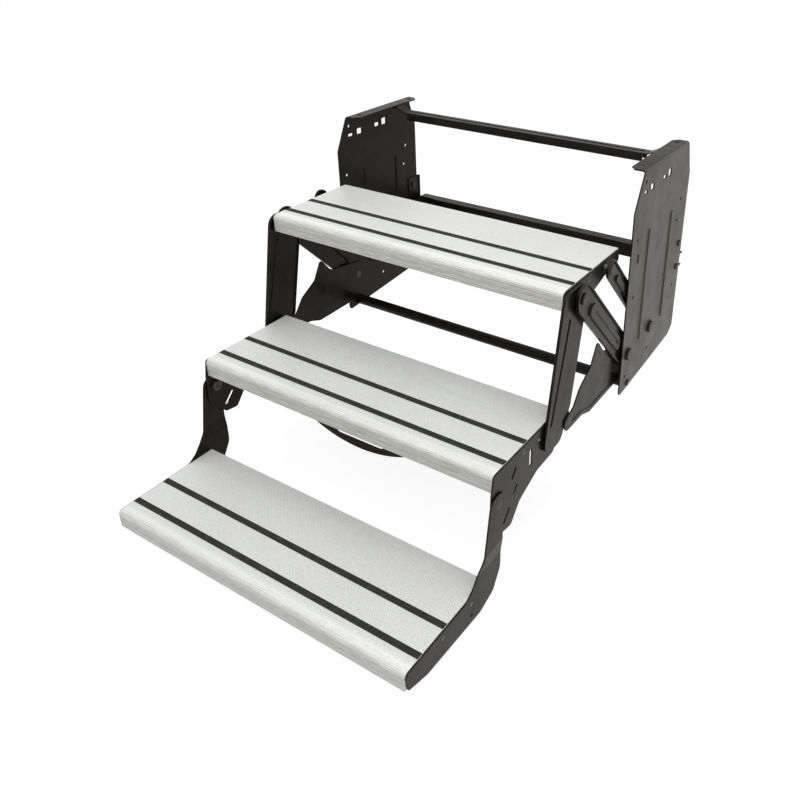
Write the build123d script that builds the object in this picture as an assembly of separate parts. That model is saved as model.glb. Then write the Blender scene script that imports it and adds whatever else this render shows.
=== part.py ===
from build123d import *
import math
import os

os.makedirs("parts", exist_ok=True)

# A folding entry step: two side plates that bolt up under a vehicle floor carry three treads.
# Parallel arms swing the upper tread, legs hang the middle one from it, and the lower one flips over.
# Lengths are in mm. +X runs along the treads, +Y to the vehicle and +Z up.
# The pieces are laid out from the top back edge of the upper tread, shown unfolded.
# They are written from the centre of the four frame bolts, on top of the plates' flanges.

# Treads: back edge and top of each
tread_length = 606.0
tread_depth = 204.0
upper_back, upper_top = 0.0, 0.0
middle_back, middle_top = -201.0, -213.0
lower_back, lower_top = -425.0, -398.0

# Tread section
skin = 3.0
nose_height = 32.0
nose_radius = 9.0
heel_height = 20.0
lip_wall = 2.5
foot_width = 11.0
rib_depth = 11.0
rib_places = (-85.0, -175.0)
boss_places = (-40.0, -115.0)
boss_drop = 14.0
boss_radius = 4.6
bracket_reveal = 1.5
nose_grooves = 7
groove_start = 10.5
groove_pitch = 2.7
groove_depth = 0.8

# Grip strips
strip_places = (-106.0, -167.0)
strip_width = 11.5
strip_seat = 1.5
strip_proud = 0.9
strip_play = 0.15

# Pivots, as (y, z): frame to brace and to rear link, then down the legs
brace_foot = (32.0, -218.0)
link_spread = (100.0, 12.0)
brace_head = (-158.0, -26.0)
leg_foot = (-228.0, -246.0)
rear_leg_reach = 50.0
lower_hinge = (-392.0, -273.0)

# Sheet thicknesses and the running gaps between them, from the tread's end outwards
bracket_wall = 2.5
arm_wall = 2.5
leg_wall = 2.5
rear_leg_wall = 2.5
brace_wall = 2.5
plate_wall = 2.5
arm_gap = 0.6
leg_gap = 0.3
rear_leg_gap = 0.5
brace_gap = 0.7
plate_gap = 4.9

# Widths of the swinging arms
brace_width = 50.0
brace_rim = 5.5
brace_bead_share = 0.52
brace_groove_share = 0.24
brace_groove_depth = 1.2
link_bead = 14.0
link_bead_height = 3.0
link_width = 34.0
rim_wall = 2.4
bead_height = 3.4

# Side plates, as y and z of their corners
plate_front, plate_rear = 8.0, 270.0
plate_bottom_front, plate_bottom_rear = -299.0, -280.0
plate_bend_front, plate_bend_rear = 63.0, 64.0
plate_corner_depth, plate_corner_height = 20.0, 14.0
flange_front, flange_rear = 41.0, 247.0
flange_top = 129.0
flange_width = 30.0
bend_radius = 5.0
plate_rib_width = 11.0
plate_rib_height = 2.2
plate_rib_top, plate_rib_foot = 6.0, -206.0
plate_rib_places = (84.0, 192.0)

# Frame bolts
mount_spacing = 165.0
mount_y = 146.0
mount_inset = 18.0
mount_hole = 4.5

# Frame members
tube_at = (43.0, -286.0)
tube_radius = 11.0
tube_wall = 2.0
beam_front, beam_depth = 276.0, 23.0
beam_top, beam_height = -112.0, 29.0
beam_wall = 2.5
bar_front, bar_depth = 168.0, 25.0
bar_drop = 9.0
bar_height = 16.0
bar_wall = 2.5

# Fasteners
pivot_radius = 6.0
stud_radius = 6.0
stud_boss = 7.0
screw_radius = 2.0
bolt_radius = 3.0
fit = 0.08
seat_gap = 0.3
screw_length = 16.0
screw_head_radius = 3.8
screw_head_depth = 1.8
nut_depth = 5.5
head_depth = 4.0
head_chamfer = 2.4
head_dome = 3.6
washer_wall = 1.2
spacer_radius = 11.0
nut_radius = 10.0
head_radius = 11.0
bar_bolt_head = 5.6
bolt_sink = 2.6
bar_nut_depth = 4.0
plug_depth = 16.0
small_nut = 3.0
rivet_lip = 2.5
dome_head = 10.0
cut_length = 10.0
handle_screw_bite = 2.2

# Pull handle under the middle tread
handle_half = 105.0
handle_wall = 2.5
handle_height = 104.0
handle_bow = 24.0
handle_corner = 16.0
handle_screw_inset = 8.0
handle_front = -149.0
handle_shelf = 20.0
handle_slot_length, handle_slot_height = 112.0, 27.0
handle_slot_rise = 29.0
handle_screw_places = (-80.0, -28.0, 28.0, 80.0)

# Beam brackets, and the bolts of beam and brackets
bracket_front = 236.0
bracket_top = -58.0
bracket_reach = 40.0
bracket_bolt_places = ((252.0, -76.0), (252.0, -126.0))
beam_bolt_inset = 22.5
beam_bolt_z = -126.5
beam_ridge = 2.5
bar_groove = 3.0

# Forms of the arms and legs
crease_depth = 1.4
rear_leg_border = 9.0
rear_leg_panel = 1.0
hub_land = 20.0
joggle_top, joggle_foot = 74.0, 100.0
flange_chamfer = 14.0

# Cut-outs of the side plates, as y and z
plate_hole = 3.2
small_holes = (
    (46, 108), (233, 22), (224, -19), (30, 8), (240, -161), (34, -103), (131, -253), (28, -265),
)
plate_slots = (
    ((45, 89), (54, 89), 6),
    ((40, -37), (40, -24), 6),
)
plate_windows = ((70, 85, 85, 97), (128, 88, 142, 96), (152, 87, 166, 101))

# Places that follow from the sizes above
link_foot = (brace_foot[0] + link_spread[0], brace_foot[1] + link_spread[1])
link_head = (brace_head[0] + link_spread[0], brace_head[1] + link_spread[1])
rear_leg_foot = (leg_foot[0] + rear_leg_reach, leg_foot[1])
tread_end = tread_length / 2
bracket_out = tread_end + bracket_wall
arm_in = bracket_out + arm_gap
arm_out = arm_in + arm_wall
leg_in = arm_out + leg_gap
leg_out = leg_in + leg_wall
rear_leg_in = leg_out + rear_leg_gap
rear_leg_out = rear_leg_in + rear_leg_wall
brace_in = rear_leg_out + brace_gap
brace_out = brace_in + brace_wall
plate_in = brace_out + plate_gap
plate_out = plate_in + plate_wall
mount_x = plate_out - mount_inset
beam_bolt_x = plate_in - beam_bolt_inset


def rounded(points, radii):
    """Face of a closed outline of (y, z) points with rounded corners."""
    return make_face(FilletPolyline(*points, radius=radii, close=True))


def panel(y0, z0, y1, z1):
    """Rectangle between two corners."""
    return Pos((y0 + y1) / 2, (z0 + z1) / 2) * Rectangle(abs(y1 - y0), abs(z1 - z0))


def disc(at, radius):
    """Circle round a place."""
    return Pos(*at) * Circle(radius)


def stadium(start, end, width):
    """Slot shape between two end centres."""
    angle = math.degrees(math.atan2(end[1] - start[1], end[0] - start[0]))
    middle = Pos((start[0] + end[0]) / 2, (start[1] + end[1]) / 2)
    return middle * Rot(0, 0, angle) * SlotCenterToCenter(math.dist(start, end), width)


def between(start, end, share):
    """Place at a share of the way from start to end."""
    return tuple(a + (b - a) * share for a, b in zip(start, end))


def blank(sketch, x, thickness, taper=0.0):
    """Solid of a (y, z) face, from x outwards."""
    return extrude(Plane.YZ.offset(x) * sketch, thickness, taper=taper)


def turned(at, profile):
    """Turned piece along X through a place, from its (x, radius) profile."""
    points = [(profile[0][0], 0.0), *profile, (profile[-1][0], 0.0)]
    face = make_face(Polyline(*points, close=True))
    return Pos(0, *at) * revolve(face, axis=Axis.X)


def ring(at, inner, outer, x0, x1):
    """Washer or spacer along X."""
    return blank(disc(at, outer) - disc(at, inner), x0, x1 - x0)


def hexagon(at, radius, x0, x1, bore=0.0):
    """Hexagon head or nut along X."""
    sketch = Pos(*at) * RegularPolygon(radius, 6)
    if bore:
        sketch -= disc(at, bore)
    return blank(sketch, x0, x1 - x0)


def pressed(sheet, outline, inner, x, height):
    """Sheet with a hollow bead pressed outwards from its outer face at x."""
    shell = blank(outline, x, height, taper=30)
    hollow = blank(inner, x - brace_wall, height, taper=30)
    return sheet + shell - hollow


def save(name, *pieces):
    """Writes one named sub-part from the centre of the frame bolts."""
    to_mount = Pos(0, -mount_y, -flange_top)
    solids = [solid for piece in pieces for solid in (to_mount * piece).solids()]
    shape = solids[0] if len(solids) == 1 else Compound(solids)
    shape.label = name
    export_step(shape, f"parts/{name}.step")


def save_pair(name, right):
    """Writes a right-hand piece and its mirror image."""
    save(f"{name}_right", right)
    save(f"{name}_left", mirror(right, about=Plane.YZ))


def both_sides(*pieces):
    """Pieces of the right side with their mirror images."""
    return [*pieces, *[mirror(piece, about=Plane.YZ) for piece in pieces]]


def tread_section():
    """Section of a tread, from its top back edge."""
    section = panel(-tread_depth, -skin, 0, 0)
    section += panel(-tread_depth, -nose_height, -tread_depth + skin, 0)
    section += panel(-tread_depth, -nose_height, -tread_depth + foot_width, -nose_height + lip_wall)
    section += panel(-lip_wall, -heel_height, 0, 0)
    section += panel(-foot_width, -heel_height, 0, -heel_height + lip_wall)
    outer = section.vertices().sort_by_distance((-tread_depth, 0, 0))[0]
    section = fillet(outer, nose_radius)
    inner = section.vertices().sort_by_distance((-tread_depth + skin, -skin, 0))[0]
    section = fillet(inner, nose_radius - skin)
    for y in rib_places:
        section += panel(y - lip_wall / 2, -rib_depth, y + lip_wall / 2, -skin / 2)
    for y in boss_places:
        section += panel(y - lip_wall / 2, -boss_drop, y + lip_wall / 2, -skin / 2)
        section += disc((y, -boss_drop), boss_radius)
        section -= disc((y, -boss_drop), screw_radius + fit)
    for y in strip_places:
        half = strip_width / 2 + strip_play
        section -= panel(y - half, -strip_seat, y + half, skin)
    for number in range(nose_grooves):
        z = -groove_start - number * groove_pitch
        section -= panel(-tread_depth - 1, z - groove_pitch / 2, -tread_depth + groove_depth, z)
    return section


def tread(back, top):
    """Extruded tread in its place."""
    return Pos(0, back, top) * blank(tread_section(), -tread_end, tread_length)


def grip_strips(back, top):
    """Two ribbed strips in the seats of a tread."""
    strips = []
    for y in strip_places:
        half = strip_width / 2
        section = panel(y - half, -strip_seat, y + half, strip_proud / 3)
        for side in (-1, 0, 1):
            middle = y + side * strip_width / 3
            section += panel(middle - strip_width / 10, 0, middle + strip_width / 10, strip_proud)
        strips.append(Pos(0, back, top) * blank(section, 1 - tread_end, tread_length - 2))
    return strips


def end_screws(back, top, head_face):
    """Countersunk screws from an end plate into the screw channels of a tread."""
    screws = []
    for y in boss_places:
        at = (back + y, top - boss_drop)
        head_foot = head_face - screw_head_depth
        profile = [
            (tread_end - screw_length, screw_radius),
            (head_foot, screw_radius),
            (head_face, screw_head_radius),
        ]
        screws.append(turned(at, profile))
    return both_sides(*screws)


def screw_seats(back, top, head_face):
    """Countersinks that the end screws of a tread sit in."""
    seats = []
    for y in boss_places:
        at = (back + y, top - boss_drop)
        profile = [
            (tread_end - 1, screw_radius + fit),
            (head_face - screw_head_depth, screw_radius + fit),
            (head_face, screw_head_radius + fit),
            (head_face + 1, screw_head_radius + fit),
        ]
        seats.append(turned(at, profile))
    return seats


def side_plate():
    """Side plate with its top flange, pressed ribs and cut-outs."""
    outline = rounded(
        [
            (plate_front, plate_bottom_front),
            (plate_front, plate_bend_front),
            (flange_front, flange_top + 1),
            (flange_rear, flange_top + 1),
            (plate_rear, plate_bend_rear),
            (plate_rear, plate_bottom_rear + plate_corner_height),
            (plate_rear - plate_corner_depth, plate_bottom_rear),
        ],
        [8, 12, 0, 0, 12, 8, 14],
    )
    for at in small_holes:
        outline -= disc(at, plate_hole)
    for start, end, width in plate_slots:
        outline -= stadium(start, end, width)
    for y0, z0, y1, z1 in plate_windows:
        outline -= rounded([(y0, z0), (y1, z0), (y1, z1), (y0, z1)], [1.5] * 4)
    for at in (brace_foot, link_foot):
        outline -= disc(at, pivot_radius + fit)
    outline -= disc(tube_at, bolt_radius + fit)
    for at in bracket_bolt_places:
        outline -= disc(at, bolt_radius + fit)
    inner_edge = plate_out - flange_width
    bent = make_face(
        FilletPolyline(
            (plate_out, plate_bottom_front - 5),
            (plate_out, flange_top),
            (inner_edge, flange_top),
            (inner_edge, flange_top - plate_wall),
            (plate_in, flange_top - plate_wall),
            (plate_in, plate_bottom_front - 5),
            radius=[0, bend_radius, 0, 0, bend_radius - plate_wall, 0],
            close=True,
        )
    )
    plate = extrude(Plane.XZ * bent, plate_rear + 1, both=True)
    plate = plate & blank(outline, inner_edge - 1, flange_width + 2)
    for y in mount_y - mount_spacing / 2, mount_y + mount_spacing / 2:
        plate -= Pos(mount_x, y, flange_top) * Cylinder(mount_hole, 4 * plate_wall)
    plate -= bar_bolt_seat(fit)
    for y, turn in ((flange_front, 45), (flange_rear, -45)):
        corner = Pos(inner_edge, y, flange_top) * Rot(0, 0, turn)
        plate -= corner * Box(flange_chamfer, flange_chamfer, 4 * plate_wall)
    for y in plate_rib_places:
        ends = (y, plate_rib_top), (y, plate_rib_foot)
        shell = blank(stadium(*ends, plate_rib_width), plate_out, plate_rib_height, taper=35)
        hollow = blank(stadium(*ends, plate_rib_width - plate_wall), plate_in, plate_rib_height, taper=35)
        plate = plate + shell - hollow
    return plate


def bar_bolt_seat(play):
    """Countersunk bolt that holds the top rear bar under the flange, grown by a play."""
    at = (mount_x, bar_front + bar_depth / 2)
    shank = bolt_radius + play
    head = bar_bolt_head + play
    under = flange_top - plate_wall - seat_gap - bar_wall - bar_nut_depth
    profile = make_face(
        Polyline(
            (0, under),
            (shank, under),
            (shank, flange_top - bolt_sink),
            (head, flange_top),
            (0, flange_top),
            close=True,
        )
    )
    return Pos(at[0], at[1], 0) * revolve(Plane.XZ * profile, axis=Axis.Z)


def bar_nut():
    """Nut under an end of the top rear bar."""
    z = flange_top - plate_wall - seat_gap - bar_wall - bar_nut_depth
    sketch = RegularPolygon(2 * bolt_radius, 6) - Circle(bolt_radius + fit)
    return Pos(mount_x, bar_front + bar_depth / 2, z) * extrude(sketch, bar_nut_depth)


def top_rear_bar():
    """Channel bar with a groove along it and raised ends that bolt under the flanges."""
    lug_top = flange_top - plate_wall - seat_gap
    top = lug_top - bar_drop
    inner = plate_out - flange_width - 2
    outer = plate_in - 4
    spine = [(-outer, lug_top), (-inner, lug_top), (-inner + 2 * bar_drop, top)]
    spine += [(-x, z) for x, z in reversed(spine)]
    under = [(x, z - bar_wall) for x, z in reversed(spine)]
    strip = extrude(Plane.XZ * make_face(Polyline(*spine, *under, close=True)), bar_depth)
    bar = Pos(0, bar_front + bar_depth, 0) * strip
    length = 2 * (inner - 3 * bar_drop)
    section = panel(0, 0, bar_depth, -bar_wall)
    for y in (0, bar_depth - bar_wall):
        section += panel(y, 0, y + bar_wall, -bar_height)
    bar += Pos(0, bar_front, top) * blank(section, -length / 2, length)
    groove = panel(bar_depth / 2 - bar_groove, -bar_wall / 2, bar_depth / 2 + bar_groove, 1)
    bar -= Pos(0, bar_front, top) * blank(groove, -length / 2, length)
    for side in (-1, 1):
        hole = Cylinder(bolt_radius + fit, 4 * bar_wall)
        bar -= Pos(side * mount_x, bar_front + bar_depth / 2, lug_top) * hole
    return bar


def rear_beam():
    """Ridged channel between the rear edges of the side plates."""
    section = panel(0, 0, beam_wall, -beam_height)
    for z in (0, beam_wall - beam_height):
        section += panel(0, z, beam_depth, z - beam_wall)
    for z in (-0.2 * beam_height, -0.8 * beam_height):
        section += panel(0, z + beam_ridge / 2, beam_wall + beam_ridge, z - beam_ridge / 2)
    half = plate_in - plate_wall - seat_gap
    beam = Pos(0, beam_front, beam_top) * blank(section, -half, 2 * half)
    end = beam_front + beam_depth
    for side in (-1, 1):
        beam -= along_y(side * beam_bolt_x, beam_bolt_z, bolt_radius + fit, beam_front - 1, end)
    return beam


def along_y(x, z, radius, y0, y1):
    """Round rod along Y."""
    return Pos(x, (y0 + y1) / 2, z) * Rot(90, 0, 0) * Cylinder(radius, y1 - y0)


def beam_bracket():
    """Bent bracket from the inner face of a side plate to the rear beam."""
    outer = plate_in
    inner = outer - bracket_reach
    back = beam_front
    front = bracket_front
    bent = make_face(
        FilletPolyline(
            (outer, front),
            (outer, back),
            (inner, back),
            (inner, back - plate_wall),
            (outer - plate_wall, back - plate_wall),
            (outer - plate_wall, front),
            radius=[0, bend_radius, 0, 0, bend_radius - plate_wall, 0],
            close=True,
        )
    )
    low = beam_top - beam_height - plate_wall
    bracket = Pos(0, 0, low) * extrude(bent, bracket_top - low)
    tongue_top = beam_top + plate_wall
    notch = Box(2 * (bracket_reach - 2 * plate_wall), 4 * plate_wall, 2 * beam_height)
    bracket -= Pos(inner, back, tongue_top + beam_height) * notch
    for at in bracket_bolt_places:
        bracket -= blank(disc(at, bolt_radius + fit), outer - 2 * plate_wall, 3 * plate_wall)
    bracket -= along_y(beam_bolt_x, beam_bolt_z, bolt_radius + fit, back - 2 * plate_wall, back + 1)
    return bracket


def cross_tube():
    """Round tube between the side plates, closed by threaded plugs."""
    tube = blank(disc(tube_at, tube_radius), -plate_in, 2 * plate_in)
    bore = 2 * (plate_in - plug_depth)
    tube -= blank(disc(tube_at, tube_radius - tube_wall), -bore / 2, bore)
    for side in (-1, 1):
        tube -= blank(disc(tube_at, bolt_radius + fit), side * plate_in - plug_depth, 2 * plug_depth)
    return tube


def arm_blank(foot, head, width):
    """Pressed arm: sheet with an outward rim and two pivot holes."""
    outline = stadium(foot, head, width)
    rim = outline - stadium(foot, head, width - 2 * rim_wall)
    arm = blank(outline, brace_in, brace_wall) + blank(rim, brace_in, brace_rim)
    return arm


def brace():
    """Wide lower arm, with an oval bead and a groove along it."""
    arm = arm_blank(brace_foot, brace_head, brace_width)
    low = between(brace_foot, brace_head, 0.2)
    high = between(brace_foot, brace_head, 0.82)
    width = brace_width * brace_bead_share
    arm = pressed(
        arm,
        stadium(low, high, width),
        stadium(low, high, width - brace_wall),
        brace_out,
        bead_height,
    )
    groove_ends = between(low, high, 0.06), between(low, high, 0.94)
    groove = stadium(*groove_ends, width * brace_groove_share)
    arm -= blank(groove, brace_out + bead_height - brace_groove_depth, 2)
    for at in (brace_foot, brace_head):
        arm -= blank(disc(at, pivot_radius + fit), brace_in - 1, cut_length)
    return arm


def rear_link():
    """Narrower upper arm, with a bead along it."""
    arm = arm_blank(link_foot, link_head, link_width)
    low = between(link_foot, link_head, 0.14)
    high = between(link_foot, link_head, 0.86)
    arm = pressed(
        arm,
        stadium(low, high, link_bead),
        stadium(low, high, link_bead - brace_wall),
        brace_out,
        link_bead_height,
    )
    for at in (link_foot, link_head):
        arm -= blank(disc(at, pivot_radius + fit), brace_in - 1, cut_length)
    arm -= turned(link_foot, flared_end(brace_in, brace_wall, fit))
    return arm


def flared_end(face, wall, play):
    """Profile of a pin's riveted end, sunk in a sheet whose inner face is at x."""
    return [
        (face - play, pivot_radius + 0.6 * wall + play),
        (face + 0.6 * wall, pivot_radius + play),
        (face + wall + 1, pivot_radius + play),
    ]


def front_leg():
    """Channel leg with an inward rim, a crease by its front edge and a corner cut for the stud."""
    head_y, head_z = brace_head
    foot_y, foot_z = leg_foot
    corners = [
        (head_y - 51, head_z + 23),
        (head_y + 24, head_z + 23),
        (head_y + 22, head_z - 30),
        (foot_y + 56, foot_z + 26),
        (foot_y + 38, foot_z + 4),
        (foot_y + 30, foot_z - 27),
        (foot_y - 34, foot_z - 27),
    ]
    outline = rounded(corners, [22, 22, 40, 10, 8, 20, 24])
    rim = outline - offset(outline, -rim_wall)
    leg = blank(outline, leg_in, leg_wall) + blank(rim, arm_in + seat_gap, leg_in - arm_in)
    low = (foot_y - 11, foot_z + 26)
    high = (head_y - 33, head_z - 26)
    crease = stadium(low, high, 10)
    leg += blank(crease, leg_in - crease_depth, crease_depth)
    leg -= blank(stadium(low, high, 10 - 2 * crease_depth), leg_out - crease_depth, leg_wall)
    for at in (brace_head, leg_foot):
        leg -= blank(disc(at, pivot_radius + fit), arm_in, cut_length)
    leg -= turned(leg_foot, sunk_head(leg_out, leg_wall, fit))
    return leg


def sunk_head(face, wall, play):
    """Profile of a countersunk pin head, flush with a sheet whose outer face is at x."""
    return [
        (face - wall - 1, pivot_radius + play),
        (face - 0.6 * wall, pivot_radius + play),
        (face + play, pivot_radius + 0.6 * wall + play),
    ]


def rear_leg():
    """Bellied blade from the frame to the middle tread, with a pressed panel."""
    hub_y, hub_z = brace_foot
    end_y, end_z = rear_leg_foot
    corners = [
        (hub_y + 28, hub_z + 26),
        (hub_y - 86, hub_z + 44),
        (hub_y - 114, hub_z + 78),
        (hub_y - 136, hub_z + 39),
        (end_y + 34, end_z + 44),
        (end_y + 14, end_z + 18),
        (end_y - 16, end_z + 8),
        (end_y - 16, end_z - 17),
        (end_y + 50, end_z - 17),
        (end_y + 80, end_z - 28),
        (hub_y - 10, hub_z - 54),
        (hub_y + 30, hub_z - 36),
    ]
    outline = rounded(corners, [24, 24, 6, 12, 10, 14, 12, 14, 20, 20, 24, 20])
    leg = blank(outline, rear_leg_in, rear_leg_wall)
    leg -= blank(offset(outline, -rear_leg_border), rear_leg_out - rear_leg_panel, 2)
    leg += ring(brace_foot, pivot_radius + fit, hub_land, rear_leg_in, rear_leg_out)
    leg += ring(rear_leg_foot, stud_radius, stud_radius + stud_boss, rear_leg_in, rear_leg_out)
    leg -= blank(disc(brace_foot, pivot_radius + fit), rear_leg_in - 1, cut_length)
    leg -= turned(brace_foot, flared_end(rear_leg_in, rear_leg_wall, fit))
    leg -= blank(disc(rear_leg_foot, stud_radius), rear_leg_in - 1, cut_length)
    return leg


def upper_bracket():
    """End plate of the upper tread, with both pivots of the swinging arms."""
    front = upper_back - tread_depth + 1
    top = upper_top - bracket_reveal
    knob_y = upper_back - 10
    outline = rounded(
        [
            (front, top),
            (front, upper_top - nose_height + 1),
            (brace_head[0] - 24, brace_head[1] - 19),
            (brace_head[0] + 24, brace_head[1] - 19),
            (brace_head[0] + 60, brace_head[1] - 16),
            (link_head[0] + 8, link_head[1] - 14),
            (knob_y + 10, link_head[1] - 9),
            (knob_y + 10, top),
        ],
        [9, 4, 14, 14, 30, 20, 8, 8],
    )
    for at in (brace_head, link_head):
        outline -= disc(at, pivot_radius + fit)
    outline -= stadium((front + 24, top - 9), (front + 24, top - 16), 5)
    bracket = blank(outline, tread_end, bracket_wall)
    for seat in screw_seats(upper_back, upper_top, bracket_out):
        bracket -= seat
    return bracket


def middle_bracket():
    """Large end plate of the middle tread, with the leg pivots, the lower hinge and slots."""
    top = middle_top - bracket_reveal
    front = middle_back - tread_depth
    hinge_y, hinge_z = lower_hinge
    foot_y, foot_z = leg_foot
    stud_y, stud_z = rear_leg_foot
    outline = rounded(
        [
            (front + 1, top),
            (front - 5, middle_top - nose_height - 4),
            (hinge_y - 20, hinge_z - 27),
            (hinge_y + 14, hinge_z - 66),
            (hinge_y + 41, hinge_z - 70),
            (hinge_y + 66, hinge_z - 40),
            (foot_y - 42, foot_z - 45),
            (foot_y + 12, foot_z - 43),
            (stud_y - 18, stud_z - 16),
            (stud_y + 16, stud_z - 16),
            (stud_y + 16, stud_z + 16),
            (middle_back - 2, stud_z + 18),
            (middle_back - 4, top),
        ],
        [5, 12, 24, 10, 10, 24, 24, 14, 12, 15, 14, 8, 6],
    )
    for at in (leg_foot, lower_hinge):
        outline -= disc(at, pivot_radius + fit)
    outline -= disc(rear_leg_foot, bolt_radius + fit)
    outline -= stadium((foot_y - 65, foot_z + 8), (foot_y - 65, foot_z - 18), 8)
    outline -= disc((foot_y - 36, foot_z + 11), 4)
    outline -= stadium((hinge_y + 51, hinge_z + 33), (hinge_y + 42, hinge_z + 21), 6)
    outline -= stadium((hinge_y + 34, hinge_z - 33), (hinge_y + 18, hinge_z - 50), 6)
    outline -= stadium((hinge_y + 48, hinge_z - 12), (hinge_y + 56, hinge_z - 2), 5)
    bracket = blank(outline, tread_end, bracket_wall)
    for seat in screw_seats(middle_back, middle_top, bracket_out):
        bracket -= seat
    return bracket


def lower_arm():
    """Joggled arm from the lower hinge down to the lower tread and along its end."""
    hinge_y, hinge_z = lower_hinge
    front = lower_back - tread_depth
    under = lower_top - nose_height
    outline = rounded(
        [
            (hinge_y - 22, hinge_z + 21),
            (hinge_y + 22, hinge_z + 21),
            (hinge_y + 11, hinge_z - 40),
            (hinge_y + 10, hinge_z - 131),
            (lower_back + 22, under - 8),
            (lower_back - 16, under - 21),
            (front + 49, under - 15),
            (front + 5, under - 2),
            (front + 1, lower_top - bracket_reveal),
            (lower_back - 52, lower_top - bracket_reveal),
            (hinge_y - 68, hinge_z - 115),
            (hinge_y - 41, hinge_z - 82),
        ],
        [20, 20, 40, 30, 14, 20, 20, 6, 8, 24, 20, 30],
    )
    outline -= disc(lower_hinge, pivot_radius + fit)
    outline -= disc((lower_back - 40, under - 5), bolt_radius)
    bend_top = hinge_z - joggle_top
    bend_foot = hinge_z - joggle_foot
    joggle = make_face(
        Polyline(
            (arm_in, hinge_z + 60),
            (arm_in, bend_top),
            (tread_end, bend_foot),
            (tread_end, under - 60),
            (tread_end + arm_wall, under - 60),
            (tread_end + arm_wall, bend_foot),
            (arm_out, bend_top),
            (arm_out, hinge_z + 60),
            close=True,
        )
    )
    sheet = extrude(Plane.XZ * joggle, 2 * tread_depth - front, both=True)
    arm = sheet & blank(outline, tread_end - 1, 12)
    for seat in screw_seats(lower_back, lower_top, tread_end + arm_wall):
        arm -= seat
    arm -= turned(lower_hinge, sunk_head(arm_out, arm_wall, fit))
    return arm


def pull_handle():
    """Bowed plate with a hand slot, bent at the top to lie under the middle tread."""
    top = middle_top - skin - seat_gap
    low = top - handle_height
    plate = make_face(
        [
            Polyline((-handle_half, low + handle_bow), (-handle_half, top), (handle_half, top)),
            Line((handle_half, top), (handle_half, low + handle_bow)),
            ThreePointArc((handle_half, low + handle_bow), (0, low), (-handle_half, low + handle_bow)),
        ]
    )
    plate = fillet(plate.vertices().group_by(Axis.Y)[0], handle_corner)
    plate -= Pos(0, low + handle_slot_rise) * SlotOverall(handle_slot_length, handle_slot_height)
    front = middle_back + handle_front
    handle = Pos(0, front + handle_wall, 0) * extrude(Plane.XZ * plate, handle_wall)
    shelf = Pos(0, front + handle_shelf / 2, top - handle_wall / 2) * Box(
        2 * handle_half, handle_shelf, handle_wall
    )
    handle += shelf
    for x in handle_screw_places:
        hole = Cylinder(screw_radius + fit, 4 * handle_wall)
        handle -= Pos(x, front + handle_shelf - handle_screw_inset, top) * hole
    return handle


def handle_screws():
    """Pan screws from the handle's shelf into the underside of the middle tread."""
    top = middle_top - skin
    y = middle_back + handle_front + handle_shelf - handle_screw_inset
    screws = []
    for x in handle_screw_places:
        shank = Pos(x, y, top - seat_gap - handle_wall) * extrude(
            Circle(screw_radius), seat_gap + handle_wall + handle_screw_bite
        )
        head = Pos(x, y, top - seat_gap - handle_wall) * extrude(Circle(2 * screw_radius), -screw_radius)
        screws.append(shank + head)
    return screws


def middle_tread():
    """Middle tread with the blind holes of the handle's screws."""
    body = tread(middle_back, middle_top)
    y = middle_back + handle_front + handle_shelf - handle_screw_inset
    for x in handle_screw_places:
        depth = handle_screw_bite + fit
        body -= Pos(x, y, middle_top - skin) * extrude(Circle(screw_radius + fit), depth)
    return body


def frame_pivot(at, inner_face, wall):
    """Shoulder bolt from outside a side plate, riveted into the innermost sheet."""
    flare = flared_end(inner_face, wall, 0)
    body = turned(at, [*flare[:2], (plate_out + washer_wall + 1, pivot_radius)])
    body += hexagon(at, head_radius, plate_out + washer_wall, plate_out + washer_wall + head_depth)
    return body


def arm_pivot(at):
    """Bolt through an upper bracket and its swinging arm, with a domed head."""
    return turned(
        at,
        [
            (tread_end - nut_depth, pivot_radius),
            (brace_out + seat_gap, pivot_radius),
            (brace_out + seat_gap, dome_head),
            (brace_out + head_chamfer, dome_head),
            (brace_out + head_dome, dome_head - rivet_lip),
        ],
    )


def countersunk_pivot(at, outer_face, wall):
    """Pin with a flush outer head, from the inside of a tread through its end plate."""
    return turned(at, [(tread_end - nut_depth, pivot_radius), *sunk_head(outer_face, wall, 0)[1:]])


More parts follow.
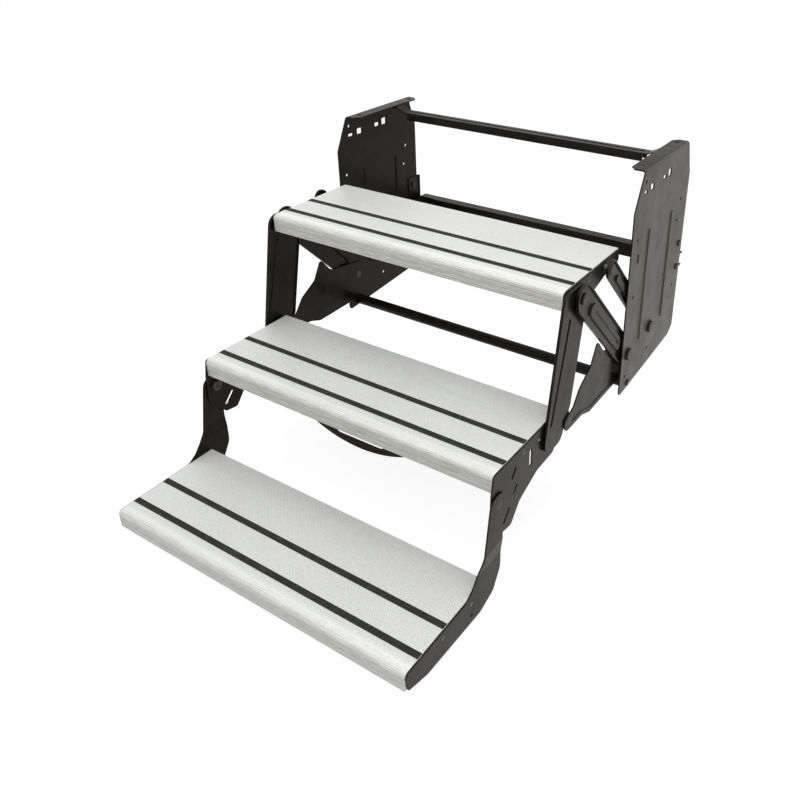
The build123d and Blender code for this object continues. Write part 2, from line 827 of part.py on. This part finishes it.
def write_frame():
    """Side plates, the members between them and their fasteners."""
    save_pair("side_plate", side_plate())
    save("top_rear_bar", top_rear_bar())
    save("top_bar_bolts", *both_sides(bar_bolt_seat(0)))
    save("top_bar_nuts", *both_sides(bar_nut()))
    save("rear_beam", rear_beam())
    save_pair("beam_bracket", beam_bracket())
    save("lower_cross_tube", cross_tube())

    tube_bolt = turned(tube_at, [(plate_in - plug_depth + 2, bolt_radius), (plate_out, bolt_radius)])
    tube_bolt += hexagon(tube_at, 2 * bolt_radius, plate_out, plate_out + bolt_radius)
    save("tube_bolts", *both_sides(tube_bolt))

    nut_face = plate_in - plate_wall
    bracket_bolts = []
    for at in bracket_bolt_places:
        bolt = turned(at, [(nut_face - small_nut - 1, bolt_radius), (plate_out, bolt_radius)])
        bolt += hexagon(at, 2 * bolt_radius, plate_out, plate_out + bolt_radius)
        nut = hexagon(at, 2 * bolt_radius, nut_face - small_nut, nut_face, bolt_radius + fit)
        bracket_bolts += [bolt, nut]
    save("bracket_bolts", *both_sides(*bracket_bolts))

    front, back = beam_front - plate_wall, beam_front + beam_wall
    shank = along_y(beam_bolt_x, beam_bolt_z, bolt_radius, front, back)
    head = along_y(beam_bolt_x, beam_bolt_z, 2 * bolt_radius, front - small_nut, front)
    tail = along_y(beam_bolt_x, beam_bolt_z, 1.8 * bolt_radius, back, back + small_nut)
    save("beam_bolts", *both_sides(shank + head + tail))

    brace_pin = frame_pivot(brace_foot, rear_leg_in, rear_leg_wall)
    link_pin = frame_pivot(link_foot, brace_in, brace_wall)
    save("frame_pivot_bolts", *both_sides(brace_pin, link_pin))
    washers = [
        ring(at, pivot_radius + fit, head_radius + 2, plate_out, plate_out + washer_wall)
        for at in (brace_foot, link_foot)
    ]
    save("frame_pivot_washers", *both_sides(*washers))
    spacers = [
        ring(at, pivot_radius + fit, spacer_radius, brace_out + seat_gap, plate_in)
        for at in (brace_foot, link_foot)
    ]
    save("frame_pivot_spacers", *both_sides(*spacers))


def write_arms():
    """Swinging arms and legs of both sides."""
    save_pair("brace", brace())
    save_pair("rear_link", rear_link())
    save_pair("front_leg", front_leg())
    save_pair("rear_leg", rear_leg())
    rivet = turned(
        rear_leg_foot,
        [
            (rear_leg_in, stud_radius),
            (rear_leg_out, stud_radius),
            (rear_leg_out, stud_radius + rivet_lip),
            (rear_leg_out + seat_gap, stud_radius + 2),
        ],
    )
    save("rear_leg_rivets", *both_sides(rivet))


def write_upper():
    """Upper tread with its end plates and the pivots on them."""
    save("upper_tread", tread(upper_back, upper_top))
    save("upper_grip_strips", *grip_strips(upper_back, upper_top))
    save("upper_tread_screws", *end_screws(upper_back, upper_top, bracket_out))
    save_pair("upper_bracket", upper_bracket())
    save("upper_front_pivots", *both_sides(arm_pivot(brace_head)))
    save("upper_rear_pivots", *both_sides(arm_pivot(link_head)))
    nuts = [
        hexagon(at, nut_radius, tread_end - nut_depth, tread_end, pivot_radius + fit)
        for at in (brace_head, link_head)
    ]
    save("upper_pivot_nuts", *both_sides(*nuts))
    spacers = [
        ring(brace_head, pivot_radius + fit, spacer_radius, bracket_out, leg_in - seat_gap),
        ring(brace_head, pivot_radius + fit, spacer_radius, leg_out + seat_gap, brace_in - seat_gap),
        ring(link_head, pivot_radius + fit, spacer_radius - 3, bracket_out, brace_in - seat_gap),
    ]
    save("upper_pivot_spacers", *both_sides(*spacers))


def write_middle():
    """Middle tread with its end plates, pull handle and pivots."""
    save("middle_tread", middle_tread())
    save("middle_grip_strips", *grip_strips(middle_back, middle_top))
    save("middle_tread_screws", *end_screws(middle_back, middle_top, bracket_out))
    save_pair("middle_bracket", middle_bracket())
    save("pull_handle", pull_handle())
    save("handle_screws", *handle_screws())
    save("leg_pivots", *both_sides(countersunk_pivot(leg_foot, leg_out, leg_wall)))
    washer = ring(leg_foot, pivot_radius + fit, spacer_radius - 2, bracket_out, leg_in - seat_gap)
    save("leg_pivot_washers", *both_sides(washer))
    save("lower_hinge_pins", *both_sides(countersunk_pivot(lower_hinge, arm_out, arm_wall)))
    nuts = [
        hexagon(at, nut_radius, tread_end - nut_depth, tread_end, pivot_radius + fit)
        for at in (leg_foot, lower_hinge)
    ]
    save("middle_pivot_nuts", *both_sides(*nuts))
    stud = turned(
        rear_leg_foot,
        [
            (tread_end - 2, bolt_radius + 2),
            (tread_end, bolt_radius + 2),
            (tread_end, bolt_radius),
            (bracket_out, bolt_radius),
            (bracket_out, stud_radius),
            (leg_out + 0.1, stud_radius),
        ],
    )
    save("rear_leg_studs", *both_sides(stud))


def write_lower():
    """Lower tread on its folding arms."""
    save("lower_tread", tread(lower_back, lower_top))
    save("lower_grip_strips", *grip_strips(lower_back, lower_top))
    save("lower_tread_screws", *end_screws(lower_back, lower_top, tread_end + arm_wall))
    save_pair("lower_arm", lower_arm())


write_frame()
write_arms()
write_upper()
write_middle()
write_lower()
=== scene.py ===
import bpy
from mathutils import Matrix, Vector


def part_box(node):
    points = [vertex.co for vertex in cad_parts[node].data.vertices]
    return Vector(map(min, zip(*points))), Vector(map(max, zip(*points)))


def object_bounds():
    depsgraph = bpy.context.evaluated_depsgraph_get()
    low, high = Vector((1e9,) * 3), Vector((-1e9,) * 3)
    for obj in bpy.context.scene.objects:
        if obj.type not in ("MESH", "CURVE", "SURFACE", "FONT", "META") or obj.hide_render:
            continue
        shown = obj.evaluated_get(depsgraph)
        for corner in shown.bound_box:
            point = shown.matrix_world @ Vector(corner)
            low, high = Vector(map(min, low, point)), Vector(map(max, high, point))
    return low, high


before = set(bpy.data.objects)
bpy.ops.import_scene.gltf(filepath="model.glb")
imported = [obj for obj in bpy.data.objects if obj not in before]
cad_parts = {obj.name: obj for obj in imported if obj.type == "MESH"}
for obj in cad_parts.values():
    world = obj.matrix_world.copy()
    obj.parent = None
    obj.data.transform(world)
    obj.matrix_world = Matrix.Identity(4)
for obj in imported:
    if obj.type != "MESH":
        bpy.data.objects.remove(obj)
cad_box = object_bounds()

# The camera's place in the part's frame, in metres, and its right, down and forward axes there
CAMERA_AT = (0.79721, -1.36450, 0.43009)
CAMERA_AXES = (
    (0.8441752, 0.5360652, 0.0015096),
    (0.2444548, -0.3824490, -0.8910525),
    (-0.4770849, 0.7525735, -0.4538977),
)
# Its lens and the picture's centre, in pixels of an 800 pixel frame
FOCAL_PIXELS = 826.9
CENTRE_PIXELS = (480.0, 300.0)
FRAME_PIXELS = 800.0
SENSOR = 36.0
FAR_CLIP = 100.0

# The floor, just under the lowest corner of the part
FLOOR_GAP = 0.0015
FLOOR_Z = cad_box[0][2] - FLOOR_GAP
FLOOR_HALF = 30.0
FLOOR_BOUNCE = 0.78
FLOOR_SEEN = 0.34
FLOOR_GLOW = 0.82

# Strength of the light from all round, and of the backdrop that the camera and reflections show
WORLD_LIGHT = 0.55
BACKDROP_LIGHT = 1.0

# Each lamp's place and side in metres, and its watts
LAMPS = {
    "overhead": ((0.1, -0.35, 1.35), 1.3, 14.0),
    "high_front": ((0.1, -1.9, 1.9), 1.8, 19.5),
    "front": ((-0.5, -3.0, 0.6), 1.6, 5.0),
}
LAMP_TARGET = (0.0, -0.4, -0.3)

# Wear on painted steel
RUBBED_PAINT = (0.060, 0.055, 0.048)
BARE_EDGE = (0.30, 0.285, 0.26)
SPECK = (0.20, 0.19, 0.17)
SPECK_SHARE = 0.06
PAINT_SPECULAR = 0.11
PAINT_TINT = (1.0, 0.92, 0.84, 1.0)

# A tread's knurl and the lines drawn round its nose, as half of their pitch in metres
KNURL_HALF_PITCH = 0.0017
LINE_HALF_PITCH = 0.0019
# Where each zone starts or ends, as metres round the nose: 0 on its middle, negative on the tread's top
KNURL_END = (-0.015, -0.023)
LINES_START = (-0.013, -0.004)
LINES_END = (0.042, 0.036)
FACE_SHADE_START = (-0.014, 0.014)
# Its colours, from the clean metal to the painted shade in the pits and furrows; the crest colour is a
# painted highlight and the face colours are painted shade
METAL = ((0.78, 0.790, 0.765), (0.86, 0.870, 0.845))
METAL_STREAK = (0.62, 0.63, 0.61)
METAL_GRAIN = (0.40, 0.405, 0.38)
METAL_MOTTLE = (0.38, 0.385, 0.36)
KNURL_PIT_SHADE = (0.36, 0.365, 0.35)
LINE_FURROW_SHADE = (0.20, 0.200, 0.180)
LINE_CREST_HIGHLIGHT = (0.84, 0.835, 0.810)
FACE_SHADE = (0.46, 0.440, 0.410)
FACE_STREAK_SHADE = (0.24, 0.230, 0.205)
METAL_SCUFF = (0.66, 0.66, 0.64)
METAL_EDGE = (0.88, 0.88, 0.86)

# Grip strips
RUBBER_BLACK = ((0.010, 0.0115, 0.010), (0.024, 0.026, 0.023))
RUBBER_DUST = (0.075, 0.078, 0.070)
RUBBER_WORN = (0.16, 0.16, 0.15)


class Nodes:
    """A material's node tree, with short calls for the nodes used here."""

    def __init__(self, name):
        self.material = bpy.data.materials.new(name)
        self.material.use_nodes = True
        self.tree = self.material.node_tree
        self.tree.nodes.clear()
        self.output = self.add("ShaderNodeOutputMaterial")

    def add(self, kind, **settings):
        node = self.tree.nodes.new(kind)
        for key, value in settings.items():
            setattr(node, key, value)
        return node

    def link(self, source, target):
        self.tree.links.new(source, target)

    def feed(self, socket, value):
        """Links a socket to another, or sets its value."""
        if isinstance(value, bpy.types.NodeSocket):
            self.link(value, socket)
        else:
            socket.default_value = value

    def math(self, operation, a, b=0.0):
        node = self.add("ShaderNodeMath", operation=operation)
        for socket, value in zip(node.inputs, (a, b)):
            self.feed(socket, value)
        return node.outputs[0]

    def times(self, a, b):
        return self.math("MULTIPLY", a, b)

    def remap(self, value, low, high, to_low=0.0, to_high=1.0):
        """Turns low to high of a value into 0 to 1, or into to_low to to_high."""
        node = self.add("ShaderNodeMapRange")
        ends = {"Value": value, "From Min": low, "From Max": high, "To Min": to_low, "To Max": to_high}
        for key, item in ends.items():
            self.feed(node.inputs[key], item)
        return node.outputs[0]

    def place(self):
        """Where a point is, in the piece's frame, in metres."""
        return self.add("ShaderNodeTexCoord").outputs["Object"]

    def noise(self, scale, detail=2.0, stretch=None):
        vector = self.place()
        if stretch:
            mapping = self.add("ShaderNodeMapping")
            self.link(vector, mapping.inputs["Vector"])
            mapping.inputs["Scale"].default_value = stretch
            vector = mapping.outputs[0]
        node = self.add("ShaderNodeTexNoise")
        self.link(vector, node.inputs["Vector"])
        node.inputs["Scale"].default_value = scale
        node.inputs["Detail"].default_value = detail
        return node.outputs["Fac"]

    def mix(self, share, a, b):
        node = self.add("ShaderNodeMix", data_type="RGBA")
        self.feed(node.inputs[0], share)
        for socket, value in ((node.inputs[6], a), (node.inputs[7], b)):
            self.feed(socket, value if isinstance(value, bpy.types.NodeSocket) else (*value, 1.0))
        return node.outputs[2]

    def coat(self, colour, mask, share, tint):
        """The colour, with a share of a tint where the mask is 1."""
        return self.mix(self.times(mask, share), colour, tint)

    def axes(self, vector):
        node = self.add("ShaderNodeSeparateXYZ")
        self.link(vector, node.inputs[0])
        return node.outputs

    def normal(self):
        """The surface's own normal, in the piece's frame."""
        geometry = self.add("ShaderNodeNewGeometry")
        spaces = {"convert_from": "WORLD", "convert_to": "OBJECT"}
        turn = self.add("ShaderNodeVectorTransform", vector_type="NORMAL", **spaces)
        self.link(geometry.outputs["True Normal"], turn.inputs[0])
        return turn.outputs[0]

    def rounded(self, radius):
        """Normal of edges softened to a radius."""
        node = self.add("ShaderNodeBevel", samples=4)
        node.inputs["Radius"].default_value = radius
        return node.outputs[0]

    def edges(self, radius):
        """1 on the sharp edges of the piece, 0 on its faces."""
        geometry = self.add("ShaderNodeNewGeometry")
        dot = self.add("ShaderNodeVectorMath", operation="DOT_PRODUCT")
        self.link(self.rounded(radius), dot.inputs[0])
        self.link(geometry.outputs["Normal"], dot.inputs[1])
        return self.remap(dot.outputs["Value"], 0.99, 0.80)

    def bump(self, height, strength, distance, normal=None):
        node = self.add("ShaderNodeBump")
        self.feed(node.inputs["Height"], height)
        node.inputs["Strength"].default_value = strength
        node.inputs["Distance"].default_value = distance
        if normal is not None:
            self.link(normal, node.inputs["Normal"])
        return node.outputs[0]

    def seen_directly(self):
        """1 for what the camera, a reflection or a clear surface shows."""
        path = self.add("ShaderNodeLightPath")
        rays = self.math("MAXIMUM", path.outputs["Is Camera Ray"], path.outputs["Is Glossy Ray"])
        return self.math("MAXIMUM", rays, path.outputs["Is Transmission Ray"])

    def finish(self, colour, roughness, normal, **constants):
        """Makes the shader. The constants go on its own sockets."""
        shader = self.add("ShaderNodeBsdfPrincipled")
        self.link(shader.outputs[0], self.output.inputs["Surface"])
        self.link(colour, shader.inputs["Base Color"])
        self.link(roughness, shader.inputs["Roughness"])
        self.link(normal, shader.inputs["Normal"])
        for key, value in constants.items():
            shader.inputs[key.replace("_", " ")].default_value = value
        return self.material


def painted_steel(name, paint, outward_sheen, smooth, rough, wear):
    """Gloss black on sheet steel: deep black inside, lighter on its outward faces as painted sheen,
    chipped along its edges.
    """
    n = Nodes(name)
    across = n.axes(n.place())[0]
    outward = n.times(n.axes(n.normal())[0], n.math("SIGN", across))
    # Painted sheen: faces turned outward along x get the lighter outward colour, for the light they catch
    dust_and_sheen = n.remap(outward, 0.25, 0.75)
    cloud = n.noise(scale=9.0, detail=3.0)
    rubbed = n.remap(n.noise(scale=34.0, detail=6.0), 0.45, 0.72)
    streaks = n.noise(scale=26.0, detail=4.0, stretch=(1.0, 1.0, 0.18))
    streaks = n.remap(streaks, 0.30, 0.70, to_low=0.72)
    colour = n.mix(n.times(dust_and_sheen, streaks), paint, outward_sheen)
    colour = n.coat(colour, rubbed, share=0.12, tint=RUBBED_PAINT)
    edge = n.times(n.edges(radius=0.0009), n.remap(n.noise(scale=140.0, detail=4.0), 0.42, 0.60))
    colour = n.coat(colour, edge, share=wear, tint=BARE_EDGE)
    specks = n.remap(n.noise(scale=900.0, detail=1.0), 0.74, 0.82, to_high=SPECK_SHARE)
    colour = n.mix(specks, colour, SPECK)
    roughness = n.remap(cloud, 0.3, 0.7, to_low=smooth, to_high=rough)
    roughness = n.math("ADD", roughness, n.times(rubbed, 0.10))
    peel = n.bump(n.noise(scale=420.0), strength=0.10, distance=0.0004, normal=n.rounded(0.0008))
    dents = n.bump(n.noise(scale=22.0, detail=1.0), strength=0.10, distance=0.004, normal=peel)
    return n.finish(
        colour, roughness, dents, Metallic=0.0, Specular_IOR_Level=PAINT_SPECULAR, Specular_Tint=PAINT_TINT
    )


def tread_metal(name, front, top):
    """Pale aluminium of a tread: knurl on top, drawn lines round its nose with painted shade and
    highlights, and painted shade on its front face.

    front and top are the tread's front face and its top, in metres.
    """
    n = Nodes(name)
    x, y, z = n.axes(n.place())
    _, toward_back, upward = n.axes(n.normal())

    def ridges(value, half_pitch):
        return n.math("PINGPONG", n.math("DIVIDE", value, half_pitch), 1.0)

    # The two patterns, each kept to its own zone
    one_way = ridges(n.math("ADD", x, y), KNURL_HALF_PITCH)
    other_way = ridges(n.math("SUBTRACT", x, y), KNURL_HALF_PITCH)
    knurl = n.times(one_way, other_way)
    round_nose = n.math("SUBTRACT", n.math("SUBTRACT", top, z), n.math("SUBTRACT", y, front))
    lines = ridges(round_nose, LINE_HALF_PITCH)
    lined = n.times(n.remap(round_nose, *LINES_START), n.remap(round_nose, *LINES_END))
    outside = n.math("MAXIMUM", n.remap(upward, 0.05, 0.15), n.remap(toward_back, -0.05, -0.15))
    lined = n.times(lined, outside)
    on_top = n.times(n.remap(upward, 0.90, 0.985), n.remap(round_nose, *KNURL_END))
    on_face = n.times(n.remap(toward_back, -0.08, -0.90), n.remap(round_nose, *FACE_SHADE_START))
    height = n.math("ADD", n.times(knurl, on_top), n.times(lines, lined))

    # Uneven metal
    cloud = n.noise(scale=7.0, detail=4.0)
    streaks = n.noise(scale=60.0, detail=3.0, stretch=(0.06, 1.0, 1.0))
    drawn = n.remap(n.noise(scale=560.0, detail=3.0, stretch=(0.06, 1.0, 1.0)), 0.40, 0.58)
    scuffs = n.noise(scale=26.0, detail=6.0, stretch=(0.5, 1.6, 1.0))
    scuffs = n.remap(scuffs, 0.55, 0.78, to_high=0.30)
    grain = n.remap(n.noise(scale=520.0, detail=3.0), 0.40, 0.62)
    mottle = n.remap(n.noise(scale=230.0, detail=4.0), 0.44, 0.60)
    colour = n.mix(cloud, *METAL)
    colour = n.coat(colour, streaks, share=0.20, tint=METAL_STREAK)
    colour = n.coat(colour, grain, share=0.16, tint=METAL_GRAIN)
    colour = n.coat(colour, mottle, share=0.13, tint=METAL_MOTTLE)

    # Painted shade in the knurl pits and the furrows, painted highlights on the crests, and painted shade
    # on the front face
    # Painted shade: the knurl's pits are darkened
    pit_shade = n.times(n.math("SUBTRACT", 1.0, height), on_top)
    colour = n.coat(colour, pit_shade, share=0.32, tint=KNURL_PIT_SHADE)
    # Painted shade in the furrows between the nose's lines
    broken = n.times(lined, n.remap(drawn, 0.0, 1.0, to_low=0.50))
    furrow_shade = n.times(n.remap(lines, 0.55, 0.25), broken)
    colour = n.coat(colour, furrow_shade, share=0.58, tint=LINE_FURROW_SHADE)
    # Painted highlights on the crests of the nose's lines
    crest_highlights = n.times(n.remap(lines, 0.70, 0.95), lined)
    colour = n.coat(colour, crest_highlights, share=0.20, tint=LINE_CREST_HIGHLIGHT)
    # Painted shade: the tread's front face is darkened, in streaks too
    colour = n.coat(colour, on_face, share=0.48, tint=FACE_SHADE)
    colour = n.coat(colour, n.times(drawn, on_face), share=0.30, tint=FACE_STREAK_SHADE)
    colour = n.mix(scuffs, colour, METAL_SCUFF)
    colour = n.coat(colour, n.edges(radius=0.0008), share=0.4, tint=METAL_EDGE)
    roughness = n.remap(cloud, 0.3, 0.7, to_low=0.46, to_high=0.56)
    roughness = n.math("ADD", roughness, n.times(scuffs, 0.5))
    fine = n.bump(height, strength=0.50, distance=0.0009, normal=n.rounded(0.0006))
    return n.finish(colour, roughness, fine, Metallic=0.30, Specular_IOR_Level=0.35)


def rubber(name):
    """Black grip strip: matt, pebbled, dusty in patches and greyer along its edges."""
    n = Nodes(name)
    cloud = n.noise(scale=30.0, detail=4.0)
    colour = n.mix(cloud, *RUBBER_BLACK)
    dust_and_sheen = n.remap(n.noise(scale=85.0, detail=6.0), 0.48, 0.74, to_high=0.30)
    colour = n.mix(dust_and_sheen, colour, RUBBER_DUST)
    patches = n.remap(n.noise(scale=60.0, detail=3.0), 0.4, 0.65, to_low=0.05, to_high=0.5)
    colour = n.coat(colour, n.edges(radius=0.0005), share=patches, tint=RUBBER_WORN)
    roughness = n.remap(cloud, 0.3, 0.7, to_low=0.62, to_high=0.80)
    pebble = n.bump(n.noise(scale=1400.0), strength=0.35, distance=0.0004)
    return n.finish(colour, roughness, pebble, Metallic=0.0, Specular_IOR_Level=0.25)


def fastener(name, colour_a, colour_b, worn_colour, metallic, smooth, rough):
    """Turned or forged small metal piece with tool marks and worn edges."""
    n = Nodes(name)
    marks = n.noise(scale=700.0, stretch=(0.15, 1.0, 1.0))
    colour = n.mix(n.noise(scale=90.0, detail=4.0), colour_a, colour_b)
    patches = n.remap(n.noise(scale=240.0, detail=3.0), 0.35, 0.6, to_low=0.1, to_high=0.8)
    colour = n.coat(colour, n.edges(radius=0.0006), share=patches, tint=worn_colour)
    roughness = n.remap(marks, 0.3, 0.7, to_low=smooth, to_high=rough)
    cuts = n.bump(marks, strength=0.12, distance=0.0003, normal=n.rounded(0.0006))
    return n.finish(colour, roughness, cuts, Metallic=metallic, Specular_IOR_Level=0.3)


# The outward colours below are painted sheen, lightening the faces turned outward along x
PAINT = painted_steel(
    "black_paint", paint=(0.0060, 0.0046, 0.0040), outward_sheen=(0.014, 0.0115, 0.0095),
    smooth=0.22, rough=0.32, wear=0.20,
)
PLATE = painted_steel(
    "plate_paint", paint=(0.0064, 0.0050, 0.0044), outward_sheen=(0.118, 0.112, 0.094),
    smooth=0.28, rough=0.38, wear=0.22,
)
GREY = painted_steel(
    "bracket_grey", paint=(0.0070, 0.0056, 0.0048), outward_sheen=(0.024, 0.020, 0.017),
    smooth=0.28, rough=0.40, wear=0.26,
)
RUBBER = rubber("grip_rubber")
DARK = fastener(
    "dark_fasteners", colour_a=(0.008, 0.007, 0.006), colour_b=(0.018, 0.016, 0.014),
    worn_colour=(0.16, 0.15, 0.14), metallic=0.0, smooth=0.34, rough=0.48,
)
ZINC = fastener(
    "zinc_fasteners", colour_a=(0.050, 0.048, 0.044), colour_b=(0.095, 0.090, 0.083),
    worn_colour=(0.30, 0.295, 0.28), metallic=0.6, smooth=0.36, rough=0.50,
)

BY_SLOT = {
    "black_paint": PAINT,
    "bracket_grey": GREY,
    "grip_rubber": RUBBER,
    "dark_fasteners": DARK,
    "zinc_fasteners": ZINC,
}
BY_NODE = {"side_plate_left": PLATE, "side_plate_right": PLATE}
for tread in ("upper_tread", "middle_tread", "lower_tread"):
    low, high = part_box(tread)
    BY_NODE[tread] = tread_metal(f"{tread}_metal", front=low[1], top=high[2])

for name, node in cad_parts.items():
    for slot in node.material_slots:
        kind = slot.material.name.split(".")[0] if slot.material else "black_paint"
        slot.material = BY_NODE.get(name) or BY_SLOT.get(kind, PAINT)


def stage_floor():
    """Pale floor that stays white to the camera and in reflections, but keeps the part's shadow."""
    mesh = bpy.data.meshes.new("floor")
    corners = [(x * FLOOR_HALF, y * FLOOR_HALF, FLOOR_Z) for x, y in ((-1, -1), (1, -1), (1, 1), (-1, 1))]
    mesh.from_pydata(corners, [], [(0, 1, 2, 3)])
    floor = bpy.data.objects.new("floor", mesh)
    bpy.context.scene.collection.objects.link(floor)
    n = Nodes("floor")
    bounce = n.add("ShaderNodeBsdfDiffuse")
    bounce.inputs["Color"].default_value = (FLOOR_BOUNCE, FLOOR_BOUNCE, FLOOR_BOUNCE, 1.0)
    seen = n.add("ShaderNodeBsdfDiffuse")
    seen.inputs["Color"].default_value = (FLOOR_SEEN, FLOOR_SEEN, FLOOR_SEEN, 1.0)
    glow = n.add("ShaderNodeEmission")
    glow.inputs["Strength"].default_value = FLOOR_GLOW
    both = n.add("ShaderNodeAddShader")
    n.link(seen.outputs[0], both.inputs[0])
    n.link(glow.outputs[0], both.inputs[1])
    pick = n.add("ShaderNodeMixShader")
    n.link(n.seen_directly(), pick.inputs[0])
    n.link(bounce.outputs[0], pick.inputs[1])
    n.link(both.outputs[0], pick.inputs[2])
    n.link(pick.outputs[0], n.output.inputs["Surface"])
    mesh.materials.append(n.material)


def studio_world():
    """White backdrop, and an even pale light from all round."""
    world = bpy.data.worlds.new("studio")
    bpy.context.scene.world = world
    world.use_nodes = True
    tree = world.node_tree
    tree.nodes.clear()
    output = tree.nodes.new("ShaderNodeOutputWorld")
    path = tree.nodes.new("ShaderNodeLightPath")
    pick = tree.nodes.new("ShaderNodeMixShader")
    for socket, strength in ((pick.inputs[1], WORLD_LIGHT), (pick.inputs[2], BACKDROP_LIGHT)):
        light = tree.nodes.new("ShaderNodeBackground")
        light.inputs["Color"].default_value = (1.0, 1.0, 1.0, 1.0)
        light.inputs["Strength"].default_value = strength
        tree.links.new(light.outputs[0], socket)
    shown = path.outputs["Is Camera Ray"]
    for ray in ("Is Glossy Ray", "Is Transmission Ray"):
        either = tree.nodes.new("ShaderNodeMath")
        either.operation = "MAXIMUM"
        tree.links.new(shown, either.inputs[0])
        tree.links.new(path.outputs[ray], either.inputs[1])
        shown = either.outputs[0]
    tree.links.new(shown, pick.inputs[0])
    tree.links.new(pick.outputs[0], output.inputs["Surface"])


def soft_lamp(name, at, size, watts):
    """Square area lamp turned to the middle of the part."""
    data = bpy.data.lights.new(name, "AREA")
    data.shape = "SQUARE"
    data.size = size
    data.energy = watts
    lamp = bpy.data.objects.new(name, data)
    lamp.location = at
    lamp.rotation_euler = (Vector(LAMP_TARGET) - Vector(at)).to_track_quat("-Z", "Y").to_euler()
    bpy.context.scene.collection.objects.link(lamp)


def photo_camera():
    """Camera at the photograph's place, with the picture's centre shifted as its crop needs."""
    data = bpy.data.cameras.new("camera")
    data.sensor_width = SENSOR
    data.lens = FOCAL_PIXELS / FRAME_PIXELS * SENSOR
    data.shift_x = (FRAME_PIXELS / 2 - CENTRE_PIXELS[0]) / FRAME_PIXELS
    data.shift_y = (CENTRE_PIXELS[1] - FRAME_PIXELS / 2) / FRAME_PIXELS
    data.clip_end = FAR_CLIP
    right, down, forward = (Vector(axis) for axis in CAMERA_AXES)
    turn = Matrix((right, -down, -forward)).transposed()
    camera = bpy.data.objects.new("camera", data)
    camera.matrix_world = Matrix.Translation(CAMERA_AT) @ turn.to_4x4()
    bpy.context.scene.collection.objects.link(camera)
    bpy.context.scene.camera = camera


stage_floor()
studio_world()
for name, (at, size, watts) in LAMPS.items():
    soft_lamp(name, at, size, watts)
photo_camera()
bpy.context.scene.view_settings.view_transform = "Standard"
